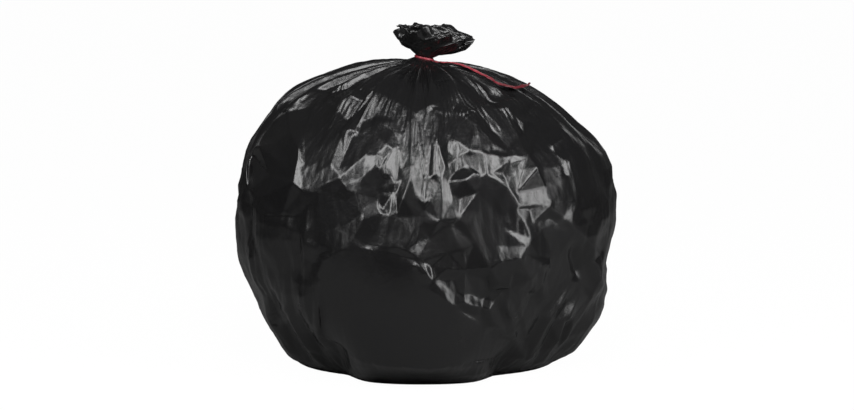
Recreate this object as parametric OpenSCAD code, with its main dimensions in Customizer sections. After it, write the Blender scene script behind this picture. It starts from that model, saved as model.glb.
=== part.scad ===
// Filled bin bag that stands on its base, with its neck gathered and tied by a thin tape.
// The bag and what is packed in it are one closed solid. Z is up, and the base is on z = 0.

/* [Bag] */
// Height of the tie above the floor
neck_h = 366; // [300:1:430]
// Reach of the belly to the right of the neck
reach_right = 230; // [190:1:260]
// Reach of the belly behind the neck
reach_back = 208; // [180:1:225]
// Reach of the belly to the left of the neck
reach_left = 223; // [190:1:260]
// Reach of the belly in front of the neck
reach_front = 206; // [180:1:225]

/* [Folds] */
// Number of pleats that run out from the neck over the shoulder
pleat_count = 27; // [20:1:32]
// Depth of the pleats at the shoulder
pleat_depth = 5.5; // [2:0.5:8]
// Depth of the long creases in the belly
crease_depth = 5; // [2:0.5:7]
// Width of one side of a long crease
crease_w = 17; // [12:1:24]
// Height of the ridges where the film is drawn tight
ridge_h = 4.5; // [2:0.5:7]
// Width of one side of such a ridge
ridge_w = 14; // [10:1:20]
// Depth of the crossing folds that leave the film in flat facets
facet_depth = 5; // [2:0.5:7]

/* [Neck and tuft] */
// Radius of the gathered neck inside the tie
neck_r = 9.6; // [7:0.2:13]
// Height of the tuft above the tie
tuft_h = 41; // [30:1:60]
// Mean reach of the tuft from its middle
tuft_r = 41; // [32:1:50]
// How far the tuft leans to the right
tuft_lean = 17; // [0:1:20]
// Depth of the ruffles in the tuft
ruffle_depth = 7; // [3:0.5:9]
// How far the right side of the tuft droops
tuft_droop = 8; // [0:0.5:10]

/* [Tape] */
// Width of the tape where it is pulled tight round the neck
loop_w = 3.4; // [2:0.1:6]
// Thickness of the gathered tape round the neck
loop_t = 1.3; // [0.8:0.1:2]
// Slope of the loop, lower on the right, in degrees
loop_tilt = 12; // [0:1:16]
// Width of the loose end of the tape
tail_w = 7; // [4:0.5:9]
// Thickness of the loose end of the tape
tail_t = 1.6; // [1:0.1:2]
// Clearance between the loop and the film
clearance = 0.3; // [0.2:0.05:0.5]
// Gap between the loose end of the tape and the folds that it lies on
tail_gap = 0.7; // [0.5:0.05:0.9]

/* [Hidden] */

FILM = [0.07, 0.07, 0.08];
TAPE = [0.6, 0.1, 0.14];

// Columns of points round the bag, and rings in each span between two points of its outline
columns = 144;
RINGS_PER_SPAN = [2, 3, 4, 4, 4, 4, 3, 2, 2];

// Outlines of the right, back, left and front of the bag, from the edge of the base up to the
// foot of the neck. Each point is [share of that side's reach, share of the neck height].
OUTLINES = [
    [[0.68, 0], [0.75, 0.035], [0.88, 0.16], [0.965, 0.33], [1.0, 0.50],
     [0.93, 0.69], [0.70, 0.835], [0.46, 0.928], [0.22, 0.977], [0.08, 0.987]],
    [[0.64, 0], [0.75, 0.035], [0.90, 0.16], [0.985, 0.32], [1.0, 0.49],
     [0.91, 0.68], [0.70, 0.84], [0.46, 0.925], [0.22, 0.972], [0.08, 0.985]],
    [[0.69, 0], [0.76, 0.035], [0.88, 0.17], [0.975, 0.33], [1.005, 0.50],
     [0.965, 0.69], [0.805, 0.84], [0.565, 0.935], [0.29, 0.980], [0.075, 0.988]],
    [[0.52, 0], [0.64, 0.035], [0.88, 0.16], [0.98, 0.32], [0.985, 0.50],
     [0.87, 0.69], [0.66, 0.84], [0.44, 0.93], [0.22, 0.972], [0.08, 0.985]]
];
REACHES = [reach_right, reach_back, reach_left, reach_front];

// What pushes out from inside: [direction in degrees, height, push, half width, half height],
// the last four as shares of the neck height
PARCELS = [
    [268, 0.04, 0.115, 0.273, 0.213],
    [257, 0.24, 0.033, 0.410, 0.246],
    [299, 0.36, 0.025, 0.191, 0.126],
    [352, 0.21, 0.016, 0.232, 0.131],
    [18, 0.52, 0.014, 0.219, 0.164],
    [237, 0.70, 0.019, 0.205, 0.164],
    [303, 0.66, 0.016, 0.191, 0.164],
    [182, 0.42, 0.011, 0.301, 0.219],
    [72, 0.30, 0.033, 0.328, 0.246],
    [122, 0.58, 0.025, 0.301, 0.219]
];

// Long creases and ridges: [direction and share of the neck height at the top, the same at the foot]
CREASES = [
    [233, 0.62, 237, 0.05],
    [289, 0.60, 287, 0.05],
    [352, 0.54, 301, 0.04],
    [338, 0.44, 293, 0.06],
    [3, 0.36, 318, 0.03],
    [322, 0.66, 306, 0.34],
    [200, 0.56, 216, 0.05],
    [168, 0.44, 190, 0.04],
    [222, 0.40, 226, 0.03],
    [30, 0.52, 52, 0.04],
    [95, 0.62, 88, 0.05],
    [140, 0.46, 122, 0.04],
    [62, 0.40, 70, 0.04],
    [247, 0.88, 238, 0.70],
    [258, 0.64, 257, 0.56],
    [284, 0.86, 280, 0.56],
    [297, 0.82, 303, 0.73],
    [303, 0.70, 301, 0.60],
    [306, 0.25, 305, 0.09]
];
RIDGES = [
    [240, 0.90, 234, 0.64],
    [257, 0.85, 243, 0.66],
    [262, 0.84, 256, 0.70],
    [265, 0.85, 265, 0.45],
    [275, 0.85, 273, 0.56],
    [292, 0.85, 302, 0.71],
    [314, 0.87, 311, 0.62],
    [331, 0.86, 323, 0.64],
    [214, 0.81, 229, 0.60],
    [229, 0.60, 233, 0.42],
    [289, 0.41, 307, 0.42],
    [312, 0.53, 302, 0.44],
    [303, 0.29, 310, 0.24],
    [330, 0.30, 338, 0.06],
    [238, 0.44, 268, 0.41],
    [182, 0.70, 196, 0.50],
    [26, 0.74, 28, 0.44],
    [62, 0.80, 58, 0.46],
    [118, 0.84, 110, 0.50],
    [160, 0.80, 150, 0.56]
];

// Folds that cross all over the film: [number round the bag, number up the neck height,
// share of the facet depth, turn in degrees]. A few slow waves bend them.
CROSS_FOLDS = [[9, 1.3, 0.5, 30], [-14, 1.9, 0.4, 140], [6, 4.2, 0.3, 75]];
CROSS_BENDS = [[2, 35, 10], [5, 25, 130]];
// Share of the crossing folds that the drawn front takes away
front_calm = 0.6;

// Uneven waves round the bag: [number of waves, size, turn in degrees].
// The first table moves the pleats in degrees of their own wave, and the second makes them uneven.
PLEAT_SHIFTS = [[3, 70, 40], [5, 55, 110], [8, 25, 0]];
PLEAT_CHANGES = [[4, 0.3, 20], [7, 0.2, 75]];
RIM_WAVES = [[4, 0.6, 120], [7, 0.4, 30]];
// Ruffles of the tuft: [number of waves, size, sway in degrees, number of sways, turn of the sway]
RUFFLES = [[5, 0.55, 50, 2, 30], [9, 0.35, 60, 1, 200], [17, 0.25, 30, 1, 60]];

// The pleats die out below this share of the neck height, and are whole one rise above it
pleat_foot = 0.55;
pleat_rise = 0.35;
// Least strength of an uneven pleat, and the most of its own width that its depth may be
pleat_least = 0.8;
pleat_room = 0.26;

// A fold dies out below this height, so that the base stays flat
heel_h = 0.066 * neck_h;
// The slope of the tie dies out over the shoulder within this distance from the neck
slope_reach = 0.164 * neck_h;
// Distance on either side, in steps of the outline, over which its direction is measured
probe = 0.2;

// Rings of the neck above the shoulder: [radius beyond the neck, height above the tie], both in band widths
NECK_RINGS = [[0.47, -1.3], [0, -0.75], [0, 0.75], [0.65, 1.4]];

// Rings of the tuft, up its outside and down into its mouth:
// [share of the tuft's reach, share of its height, share of its lean, share of the ruffle depth]
TUFT_RINGS = [
    [0.50, 0.24, 0.30, 0.45],
    [0.80, 0.37, 0.70, 0.80],
    [1.00, 0.55, 1.00, 1.00],
    [1.02, 0.74, 0.85, 1.10],
    [0.86, 0.92, 0.50, 1.00],
    [0.66, 0.94, 0.40, 0.90],
    [0.42, 0.76, 0.20, 0.60],
    [0.20, 0.62, 0.10, 0.25]
];
tuft_floor = 0.58;
droop_direction = 350;
rim_share = 0.4;

// Route of the loose tape over the right shoulder, from the loop outwards:
// [direction in degrees, place on the outline, where 9 is the foot of the neck and 6 is the shoulder]
TAIL_ROUTE = [
    [336, 9], [337.5, 8.6], [334.6, 8.2], [329.4, 7.79], [326, 7.41],
    [325.3, 7.13], [327.5, 6.9], [334, 6.74], [343, 6.69], [352, 6.68]
];
tail_sides = 8;

function clamp(x, low, high) = min(max(x, low), high);
function blend(a, b, t) = a + (b - a) * t;
function eased(x) = let (t = clamp(x, 0, 1)) t * t * (3 - 2 * t);
function turn_between(a, b) = let (d = (a - b) % 360) d > 180 ? d - 360 : d < -180 ? d + 360 : d;
function unit(v) = v / norm(v);
function radians(a) = a * PI / 180;
function sum_of(list) = len(list) == 0 ? 0 : list * [for (x = list) 1];
function waves(table, angle) = sum_of([for (w = table) w[1] * sin(w[0] * angle + w[2])]);

// A smooth curve through the points of a list, at place s from 0 to the last point's number
function curve_at(list, s) =
    let (
        last = len(list) - 1,
        i = clamp(floor(s), 0, last - 1),
        t = s - i,
        p0 = list[max(i - 1, 0)],
        p1 = list[i],
        p2 = list[i + 1],
        p3 = list[min(i + 2, last)]
    )
    p1 + t * ((p2 - p0) / 2 + t * ((2 * p0 - 5 * p1 + 4 * p2 - p3) / 2 + t * (3 * p1 - p0 - 3 * p2 + p3) / 2));

// Outline of one side as [radius, height]
function side_outline(side, s) =
    let (p = curve_at(OUTLINES[side], s))
    [p.x * REACHES[side], max(p.y, 0) * neck_h];

// Smooth outline in any direction, blended from the two nearest sides
function outline_at(angle, s) =
    let (
        quarter = angle / 90,
        side = floor(quarter),
        t = (1 - cos(180 * (quarter - side))) / 2
    )
    blend(side_outline(side % 4, s), side_outline((side + 1) % 4, s), t);

// Irregular radial pleats with sharp crests, from -1 in a valley to 1 on a crest
function pleat_phase(angle) = pleat_count * angle + waves(PLEAT_SHIFTS, angle);
function pleat_wave(angle) = 1 - 2 * abs(sin(pleat_phase(angle) / 2));

// Pleats are deepest at the shoulder, shrink with the room between them at the neck, and fade at the belly
function pleat_relief(angle, r, z) =
    let (
        fade = eased((z / neck_h - pleat_foot) / pleat_rise),
        strength = pleat_least + waves(PLEAT_CHANGES, angle),
        room = 2 * PI * r / pleat_count
    )
    min(pleat_depth * fade * strength, room * pleat_room) * pleat_wave(angle);

function parcel_relief(parcel, angle, r, z) =
    let (
        across = radians(turn_between(angle, parcel[0])) * r / (parcel[3] * neck_h),
        up = (z / neck_h - parcel[1]) / parcel[4],
        rest = max(1 - across * across - up * up, 0)
    )
    parcel[2] * neck_h * eased(rest);

// Share that a point has of a straight fold: 1 in the middle of its line and 0 past one width beside it
function line_share(line, width, angle, r, z) =
    let (
        from_top = [radians(turn_between(angle, line[0])) * r, z - line[1] * neck_h],
        whole = [radians(turn_between(line[2], line[0])) * r, (line[3] - line[1]) * neck_h],
        along = clamp(from_top * whole / (whole * whole), 0, 1),
        fade = (1 + sin(180 * along)) / 2
    )
    fade * max(1 - norm(from_top - along * whole) / width, 0);

// A fold with straight sides, from -1 to 1
function folded(phase) = let (t = ((phase / 180) % 2 + 2) % 2) 2 * abs(t - 1) - 1;
function cross_relief(angle, r, z) =
    let (
        bend = waves(CROSS_BENDS, angle + 90 * z / neck_h),
        calm = 1 - front_calm * max(-sin(angle), 0),
        sizes = [
            for (fold = CROSS_FOLDS)
                fold[2] * folded(fold[0] * angle + 360 * fold[1] * z / neck_h + fold[3] + bend)
        ]
    )
    facet_depth * calm * eased(r / reach_back) * sum_of(sizes);

function push_out(angle, p) = sum_of([for (parcel = PARCELS) parcel_relief(parcel, angle, p.x, p.y)]);
function fold_at(angle, p) =
    let (
        crease = max([for (line = CREASES) line_share(line, crease_w, angle, p.x, p.y)]),
        ridge = max([for (line = RIDGES) line_share(line, ridge_w, angle, p.x, p.y)])
    )
    eased(p.y / heel_h)
    * (pleat_relief(angle, p.x, p.y) + cross_relief(angle, p.x, p.y) + ridge_h * ridge - crease_depth * crease);

// The film slopes with the tie near the neck
function tie_drop(x) = -tan(loop_tilt) * x;
function shoulder_drop(angle, r) = tie_drop(r * cos(angle)) * pow(max(1 - r / slope_reach, 0), 2);

// Point at a lift above the smooth bag, square to its outline
function lifted_point(angle, s, lift) =
    let (
        p = outline_at(angle, s),
        along = unit(outline_at(angle, min(s + probe, last_station)) - outline_at(angle, max(s - probe, 0))),
        r = p.x + push_out(angle, p) + lift * along.y,
        z = p.y - lift * along.x + shoulder_drop(angle, p.x)
    )
    [r * cos(angle), r * sin(angle), s == 0 ? 0 : z];

function body_point(angle, s) = lifted_point(angle, s, fold_at(angle, outline_at(angle, s)));

function neck_point(ring, angle) =
    let (r = neck_r + ring.x * loop_w + clearance * pleat_wave(angle))
    [r * cos(angle), r * sin(angle), neck_h + ring.y * loop_w + tie_drop(r * cos(angle))];

// Ruffles of the tuft: a few deep, uneven waves that sway sideways
function ruffle_wave(angle) =
    sum_of([for (w = RUFFLES) w[1] * sin(w[0] * angle + w[2] * sin(w[3] * angle + w[4]))]);

function tuft_point(ring, angle) =
    let (
        r = max(ring[0] * tuft_r + ring[3] * ruffle_depth * ruffle_wave(angle), neck_r / 3),
        droop = max(cos(angle - droop_direction), 0) * tuft_droop,
        lift = rim_share * ruffle_depth * waves(RIM_WAVES, angle)
    )
    [r * cos(angle) + ring[2] * tuft_lean, r * sin(angle), neck_h + ring[1] * tuft_h + ring[3] * (lift - droop)];

last_station = len(OUTLINES[0]) - 1;
ANGLES = [for (i = [0 : columns - 1]) 360 * i / columns];
STATIONS = concat(
    [for (i = [0 : last_station - 1]) for (k = [0 : RINGS_PER_SPAN[i] - 1]) i + k / RINGS_PER_SPAN[i]],
    [last_station]
);
BAG_RINGS = concat(
    [for (s = STATIONS) [for (a = ANGLES) body_point(a, s)]],
    [for (ring = NECK_RINGS) [for (a = ANGLES) neck_point(ring, a)]],
    [for (ring = TUFT_RINGS) [for (a = ANGLES) tuft_point(ring, a)]]
);

// The middle of the bag's plan is put on the origin
BAG_XS = [for (ring = BAG_RINGS) for (p = ring) p.x];
BAG_YS = [for (ring = BAG_RINGS) for (p = ring) p.y];
centring = -[(min(BAG_XS) + max(BAG_XS)) / 2, (min(BAG_YS) + max(BAG_YS)) / 2, 0];

// Closed solid from rings of points, with its two ends closed to a point each
module skin(rings, low_end, high_end) {
    n = len(rings[0]);
    last = len(rings) - 1;
    points = concat([for (ring = rings) each ring], [low_end, high_end]);
    sides = [
        for (i = [0 : last - 1]) for (j = [0 : n - 1])
            let (a = i * n + j, b = i * n + (j + 1) % n)
            each [[a, a + n, b + n], [a, b + n, b]]
    ];
    low_cap = [for (j = [0 : n - 1]) [len(points) - 2, j, (j + 1) % n]];
    high_cap = [for (j = [0 : n - 1]) [len(points) - 1, last * n + (j + 1) % n, last * n + j]];
    polyhedron(points = points, faces = concat(sides, low_cap, high_cap), convexity = 8);
}

module bag() {
    low_end = [0, 0, 0];
    high_end = [0, 0, neck_h + tuft_floor * tuft_h];
    color(FILM)
        translate(centring)
            skin(BAG_RINGS, low_end, high_end);
}

// The loop hugs the neck, so its rings run round the neck and each is a rectangle across the tape
loop_inner = neck_r + 2 * clearance;
loop_outer = loop_inner + loop_t;
loop_turn = 72;

function loop_point(angle, r, up) =
    [r * cos(angle), r * sin(angle), neck_h + up + tie_drop(r * cos(angle))];
function loop_ring(angle) = [
    loop_point(angle, loop_inner, -loop_w / 2),
    loop_point(angle, loop_outer, -loop_w / 2),
    loop_point(angle, loop_outer, loop_w / 2),
    loop_point(angle, loop_inner, loop_w / 2)
];

module tie_loop() {
    rings = [for (i = [0 : loop_turn - 1]) loop_ring(360 * i / loop_turn)];
    faces = [
        for (i = [0 : loop_turn - 1]) for (j = [0 : 3])
            let (a = i * 4 + j, b = i * 4 + (j + 1) % 4, c = (i + 1) % loop_turn * 4)
            each [[a, b, c + (j + 1) % 4], [a, c + (j + 1) % 4, c + j]]
    ];
    color(TAPE)
        translate(centring)
            polyhedron(points = [for (ring = rings) each ring], faces = faces, convexity = 4);
}

// The loose tape starts at the loop and then lies on the highest folds near it
function tail_point(s) =
    let (
        place = curve_at(TAIL_ROUTE, s),
        half_pleat = 180 / pleat_count,
        near = [for (turn = [-1 : 0.25 : 1]) place[0] + turn * half_pleat],
        highest = max([for (a = near) fold_at(a, outline_at(a, place[1]))])
    )
    lifted_point(place[0], place[1], highest + tail_t / 2 + tail_gap);
function outward_at(s) =
    let (place = curve_at(TAIL_ROUTE, s))
    unit(lifted_point(place[0], place[1], tail_w) - lifted_point(place[0], place[1], 0));

TAIL_STEPS = [for (i = [0 : 2 * (len(TAIL_ROUTE) - 1)]) i / 2];
TAIL_LINE = concat(
    [loop_point(TAIL_ROUTE[0][0], loop_outer + clearance, -loop_w / 4)],
    [for (s = TAIL_STEPS) tail_point(s)]
);
TAIL_OUTWARD = concat([outward_at(0)], [for (s = TAIL_STEPS) outward_at(s)]);

// Flat section of the loose tape, square to its line
function tail_ring(i) =
    let (
        last = len(TAIL_LINE) - 1,
        ahead = unit(TAIL_LINE[min(i + 1, last)] - TAIL_LINE[max(i - 1, 0)]),
        across = unit(cross(TAIL_OUTWARD[i], ahead)),
        up = cross(ahead, across),
        corner = 180 / tail_sides
    )
    [
        for (j = [0 : tail_sides - 1])
            let (a = corner * (2 * j + 1))
            TAIL_LINE[i] + (across * cos(a) * tail_w + up * sin(a) * tail_t) / (2 * cos(corner))
    ];

module tie_tail() {
    last = len(TAIL_LINE) - 1;
    color(TAPE)
        translate(centring)
            skin([for (i = [0 : last]) tail_ring(i)], TAIL_LINE[0], TAIL_LINE[last]);
}

bag();
tie_loop();
tie_tail();
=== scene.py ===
import math

import bpy
import numpy as np
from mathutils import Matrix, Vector
from mathutils.bvhtree import BVHTree
from mathutils.geometry import delaunay_2d_cdt


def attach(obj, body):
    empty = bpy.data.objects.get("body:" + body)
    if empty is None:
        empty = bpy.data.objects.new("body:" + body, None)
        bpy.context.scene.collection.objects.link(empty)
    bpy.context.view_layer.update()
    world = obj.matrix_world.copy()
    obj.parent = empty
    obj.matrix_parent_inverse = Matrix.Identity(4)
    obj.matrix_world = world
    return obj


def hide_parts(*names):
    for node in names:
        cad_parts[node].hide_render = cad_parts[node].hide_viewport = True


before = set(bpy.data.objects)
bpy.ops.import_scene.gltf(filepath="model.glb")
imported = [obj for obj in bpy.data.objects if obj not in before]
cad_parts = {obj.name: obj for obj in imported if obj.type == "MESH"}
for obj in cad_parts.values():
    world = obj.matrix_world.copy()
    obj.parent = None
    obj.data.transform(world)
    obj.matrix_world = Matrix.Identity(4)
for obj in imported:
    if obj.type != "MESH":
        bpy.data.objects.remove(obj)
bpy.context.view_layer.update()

# Camera of the photograph: it looks along +Y and a little down
IMAGE_W, IMAGE_H = 854, 410
TARGET = np.array([0.0, 0.0, 0.189])
ELEVATION = math.radians(8.0)
DISTANCE = 3.0
FOCAL_PX = 2492.0
SENSOR_MM = 36.0

# Middle of the gathered neck and of the tie
NECK = np.array([-0.0034, 0.0042, 0.366])
NECK_R = 0.0096
TIE_SLOPE = -math.tan(math.radians(12.0))

# Route of the loose tape, the same points as in the model, in metres
TAIL_ROUTE = [
    (0.0074, -0.0006, 0.3629), (0.0133, -0.0033, 0.3616), (0.0165, -0.0043, 0.3618),
    (0.0222, -0.0064, 0.3614), (0.0281, -0.0095, 0.3618), (0.0345, -0.0138, 0.3610),
    (0.0411, -0.0195, 0.3598), (0.0480, -0.0262, 0.3577), (0.0554, -0.0334, 0.3549),
    (0.0625, -0.0403, 0.3513), (0.0690, -0.0460, 0.3492), (0.0750, -0.0501, 0.3461),
    (0.0808, -0.0527, 0.3420), (0.0875, -0.0538, 0.3395), (0.0954, -0.0522, 0.3376),
    (0.1029, -0.0477, 0.3353), (0.1098, -0.0408, 0.3353), (0.1156, -0.0322, 0.3364),
    (0.1195, -0.0218, 0.3359), (0.1224, -0.0135, 0.3376),
]
TAIL_W = 0.007
TAIL_THICK = 0.0014
FILM_BELOW_TAIL = 0.0012

# Upright softboxes at the left, in front and at the right, and a dim low one: middle, width, height, power
SOFTBOXES = [
    ((-0.95, -0.95, 1.3), 0.5, 1.2, 20),
    ((0.06, -1.1, 1.5), 0.5, 1.2, 20),
    ((1.05, -0.85, 1.25), 0.5, 1.2, 20),
    ((1.72, -1.0, 0.38), 0.8, 1.1, 14),
]

# Film of the bag's body
COLUMNS, ROWS = 620, 235
BASE_Z = 0.0001
RAY_CENTRE = Vector((-0.002, 0.0, 0.165))
FRONT_DENSITY = 0.42
# Chance crumple: cells round the bag, cells from base to neck, and the spread of their slopes
BROAD_CELLS = (70, 15, 0.12)
FINE_CELLS = (200, 40, 0.045)
CRUMPLE_MOST = 0.006
SOLVER_STEPS = 700
SOLVER_HOLD = 0.004
# Film that is gathered at the neck: share of the rows below it, its reach, slack and wrinkles
TOP_SHARE = 0.66
GATHER_REACH = 0.16
FILM_SLACK = 1.01
GATHER_SLACK = 0.14
WRINKLE = 0.0002
GATHER_WRINKLE = 0.0009
RELAX_STEPS = 90
# Share of a stretch or a squeeze that the film takes back in a step, least turn of a fold, and evening out
STRETCH_BACK, SQUEEZE_BACK = 1.0, 0.8
DIAGONAL_SHARE = 0.3
FOLD_LIMIT = 1.5
SMOOTHING = 0.006
DRIFT = 0.01


def camera():
    data = bpy.data.cameras.new("camera")
    data.sensor_width = SENSOR_MM
    data.lens = FOCAL_PX / IMAGE_W * SENSOR_MM
    data.clip_end = 50
    obj = bpy.data.objects.new("camera", data)
    bpy.context.scene.collection.objects.link(obj)
    toward = Vector((0, math.cos(ELEVATION), -math.sin(ELEVATION)))
    obj.location = Vector(TARGET) - toward * DISTANCE
    obj.rotation_euler = toward.to_track_quat("-Z", "Y").to_euler()
    bpy.context.scene.camera = obj


def pixel_of(points):
    """Where points lie in the picture, in pixels of the photograph."""
    p = points - TARGET
    up = p[..., 1] * math.sin(ELEVATION) + p[..., 2] * math.cos(ELEVATION)
    deep = DISTANCE + p[..., 1] * math.cos(ELEVATION) - p[..., 2] * math.sin(ELEVATION)
    return np.stack([IMAGE_W / 2 + FOCAL_PX * p[..., 0] / deep, IMAGE_H / 2 - FOCAL_PX * up / deep], -1)


def mesh_object(name, points, faces, material, smooth=True):
    mesh = bpy.data.meshes.new(name)
    mesh.from_pydata([tuple(p) for p in points], [], faces)
    mesh.update()
    mesh.polygons.foreach_set("use_smooth", [smooth] * len(mesh.polygons))
    obj = bpy.data.objects.new(name, mesh)
    bpy.context.scene.collection.objects.link(obj)
    mesh.materials.append(material)
    return obj


# Materials


def node_material(name):
    material = bpy.data.materials.new(name)
    material.use_nodes = True
    tree = material.node_tree
    return material, tree, tree.nodes["Principled BSDF"]


def noise_node(tree, coords, scale, detail):
    """Noise over object coordinates, or over those that a mapping gives."""
    node = tree.nodes.new("ShaderNodeTexNoise")
    node.inputs["Scale"].default_value = scale
    node.inputs["Detail"].default_value = detail
    tree.links.new(coords, node.inputs["Vector"])
    return node


def math_node(tree, operation, *values):
    """One step of arithmetic with numbers and other nodes' values."""
    node = tree.nodes.new("ShaderNodeMath")
    node.operation = operation
    for socket, value in zip(node.inputs, values):
        if isinstance(value, (int, float)):
            socket.default_value = value
        else:
            tree.links.new(value, socket)
    return node.outputs["Value"]


def range_node(tree, value, source, target, curve="LINEAR"):
    """Turns a value from one range into another."""
    node = tree.nodes.new("ShaderNodeMapRange")
    node.interpolation_type = curve
    for name, number in zip(("From Min", "From Max", "To Min", "To Max"), (*source, *target)):
        node.inputs[name].default_value = number
    tree.links.new(value, node.inputs["Value"])
    return node.outputs["Result"]


def colour_node(tree, value, stops):
    """Mixes two colours by a value. A stop is a position and a colour."""
    node = tree.nodes.new("ShaderNodeValToRGB")
    for element, (position, colour) in zip(node.color_ramp.elements, stops):
        element.position = position
        element.color = (*colour, 1)
    tree.links.new(value, node.inputs["Fac"])
    return node.outputs["Color"]


def bump_node(tree, shader, height, strength, distance):
    node = tree.nodes.new("ShaderNodeBump")
    node.inputs["Strength"].default_value = strength
    node.inputs["Distance"].default_value = distance
    tree.links.new(height, node.inputs["Height"])
    tree.links.new(node.outputs["Normal"], shader.inputs["Normal"])


def film_material():
    material, tree, shader = node_material("black_film")
    new, link = tree.nodes.new, tree.links.new
    coords = new("ShaderNodeTexCoord").outputs["Object"]
    shader.inputs["IOR"].default_value = 1.5
    shader.inputs["Specular IOR Level"].default_value = 0.5
    tone = noise_node(tree, coords, 9.0, 3.0)
    dark, pale = (0.0035, 0.0035, 0.004), (0.006, 0.0058, 0.0058)
    colour = colour_node(tree, tone.outputs["Fac"], [(0, dark), (1, pale)])
    link(colour, shader.inputs["Base Color"])
    gloss = noise_node(tree, coords, 28.0, 4.0)
    link(range_node(tree, gloss.outputs["Fac"], (0, 1), (0.19, 0.31)), shader.inputs["Roughness"])

    # Fine upright lines that the film has from being drawn out, and small crinkles
    stretch = new("ShaderNodeMapping")
    stretch.inputs["Scale"].default_value = (330.0, 330.0, 14.0)
    link(coords, stretch.inputs["Vector"])
    lines = noise_node(tree, stretch.outputs["Vector"], 1.0, 2.0)
    crinkle = noise_node(tree, coords, 210.0, 5.0)
    crinkle.inputs["Roughness"].default_value = 0.6
    crinkle.inputs["Distortion"].default_value = 0.8
    height = math_node(tree, "MULTIPLY_ADD", lines.outputs["Fac"], 0.45, crinkle.outputs["Fac"])
    bump_node(tree, shader, height, 0.2, 0.0012)
    return material


def tape_material():
    material, tree, shader = node_material("red_tape")
    new, link = tree.nodes.new, tree.links.new
    coords = new("ShaderNodeTexCoord").outputs["Object"]
    shader.inputs["Roughness"].default_value = 0.38
    shader.inputs["IOR"].default_value = 1.5
    tone = noise_node(tree, coords, 160.0, 3.0).outputs["Fac"]
    colour = colour_node(tree, tone, [(0.3, (0.12, 0.01, 0.016)), (0.7, (0.4, 0.04, 0.06))])

    # Painted shade: the loose end is darker towards its tip, a darkening of its colour that stands in for the
    # shade of the film over it
    split = new("ShaderNodeSeparateXYZ")
    painted_shade = new("ShaderNodeHueSaturation")
    link(coords, split.inputs["Vector"])
    link(range_node(tree, split.outputs["X"], (0.035, 0.1), (1.0, 0.35)), painted_shade.inputs["Value"])
    link(colour, painted_shade.inputs["Color"])
    link(painted_shade.outputs["Color"], shader.inputs["Base Color"])
    bump_node(tree, shader, tone, 0.4, 0.0006)
    return material


# The loose end of the tape


def ribbon(name, route, width, thick, material):
    """A flat strip along a route, crumpled a little across its width, and its middle line."""
    route = np.array(route)
    steps, sides = 5, 14
    t = np.linspace(0, len(route) - 1, (len(route) - 1) * steps + 1)
    line = np.stack([np.interp(t, range(len(route)), route[:, k]) for k in range(3)], 1)
    kernel = np.array([1, 3, 4, 3, 1]) / 12
    inner = np.stack([np.convolve(line[:, k], kernel, "same") for k in range(3)], 1)
    line[2:-2] = inner[2:-2]
    ahead = np.gradient(line, axis=0)
    ahead /= np.linalg.norm(ahead, axis=1)[:, None]
    outward = line * [1, 1, 0] + [0, 0, 0.26]
    across = np.cross(outward, ahead)
    across /= np.linalg.norm(across, axis=1)[:, None]
    up = np.cross(ahead, across)
    points = []
    for k, p in enumerate(line):
        for j in range(sides):
            a = 2 * math.pi * j / sides
            ruffle = 0.00035 * math.sin(5 * a + k * 0.37) + 0.00025 * math.sin(3 * a - k * 0.9)
            squeeze = 1 + 0.12 * math.sin(k * 0.61) + 0.08 * math.sin(k * 1.7)
            squeeze *= min(1, 0.3 + 2.8 * (1 - k / len(line)))
            points.append(
                p
                + across[k] * math.cos(a) * width / 2 * squeeze
                + up[k] * (math.sin(a) * thick / 2 + ruffle * abs(math.cos(a)))
            )
    faces = []
    last = len(line) - 1
    for k in range(last):
        for j in range(sides):
            a, b = k * sides + j, k * sides + (j + 1) % sides
            faces.append((a, b, b + sides, a + sides))
    faces.append(tuple(reversed(range(sides))))
    faces.append(tuple(last * sides + j for j in range(sides)))
    return mesh_object(name, points, faces, material), line


# Film solver: a film is an array of points (rows, columns, 3) whose columns close round the object


def pull(a, b, rest, share=1.0):
    """Moves two sets of points towards their rest distance."""
    d = b - a
    length = np.sqrt(np.einsum("...k,...k->...", d, d)) + 1e-9
    move = (length - rest) / length
    move *= np.where(move < 0, SQUEEZE_BACK * share, STRETCH_BACK * share) * 0.5
    d *= move[..., None]
    a += d
    b -= d


def relax(p, rest, low, high, base, normal):
    """Lets the film take its rest lengths between two bounds along the base's normals."""
    rest_u, rest_v, rest_d = rest
    rows, columns = p.shape[:2]
    for _ in range(RELAX_STEPS):
        for k in (0, 1):
            pull(p[:, k:columns - 1:2], p[:, k + 1::2], rest_u[:, k:columns - 1:2])
        pull(p[:, -1:], p[:, :1], rest_u[:, -1:])
        for k in (0, 1):
            pull(p[k:rows - 1:2], p[k + 1::2], rest_v[k:rows - 1:2])
        for k in (0, 1):
            pull(p[k:rows - 1:2, :-1], p[k + 1::2, 1:], rest_d[k:rows - 1:2, :-1], DIAGONAL_SHARE)
            pull(p[k:rows - 1:2, 1:], p[k + 1::2, :-1], rest_d[k:rows - 1:2, :-1], DIAGONAL_SHARE)
        for k in (0, 1):
            push_apart(p[:, k:columns - 2:4], p[:, k + 2::4], rest_u[:, k:columns - 2:4])
            push_apart(p[:, k + 2:columns - 2:4], p[:, k + 4::4], rest_u[:, k + 2:columns - 2:4])
        for k in (0, 1, 2, 3):
            push_apart(p[k:rows - 2:4], p[k + 2::4], rest_v[k:rows - 2:4])
        middle = (np.roll(p, 1, 1) + np.roll(p, -1, 1)) * 0.5
        p += (middle - p) * SMOOTHING
        p[1:-1] += ((p[:-2] + p[2:]) * 0.5 - p[1:-1]) * SMOOTHING
        off = p - base
        out = np.einsum("...k,...k->...", off, normal)
        want = np.clip(out, low, high)
        p += normal * (want - out)[..., None]
        p -= (off - normal * out[..., None]) * DRIFT
        p[..., 2] = np.maximum(p[..., 2], 0.0004)
    return p


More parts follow.
